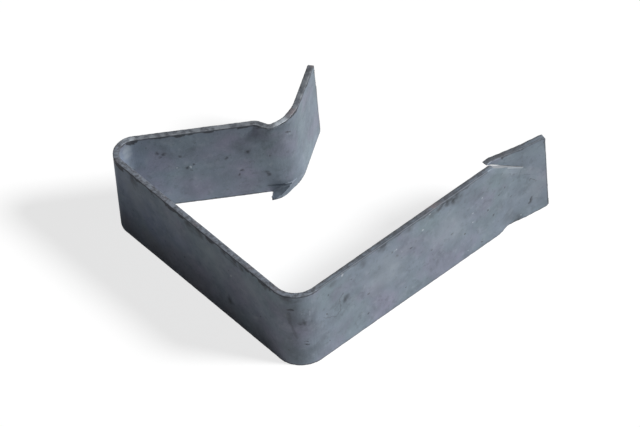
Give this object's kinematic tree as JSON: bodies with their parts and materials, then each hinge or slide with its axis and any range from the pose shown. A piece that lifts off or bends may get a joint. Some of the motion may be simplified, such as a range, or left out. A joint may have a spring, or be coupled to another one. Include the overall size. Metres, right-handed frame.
{
  "type": "wire clip",
  "caption": "Steel strip bent into an open U that stands on its edge, with a long and a short leg whose sheared barbs and flared tips catch a wire.",
  "frame": {"origin": "middle of the ground that the clip covers, at the height of its lower edge", "axes": "+X along the web from the short leg's bend to the long leg's, +Y from the web out to the open mouth, +Z across the strip, up from the edge it stands on"},
  "size_m": [0.0724, 0.081, 0.025],
  "materials": {
    "galvanised_strip": "weathered hot-dip galvanised, matt blue-grey with dark specks, edges sheared"
  },
  "bodies": {
    "root": {"wire_clip": "galvanised_strip"}
  },
  "joints": []
}
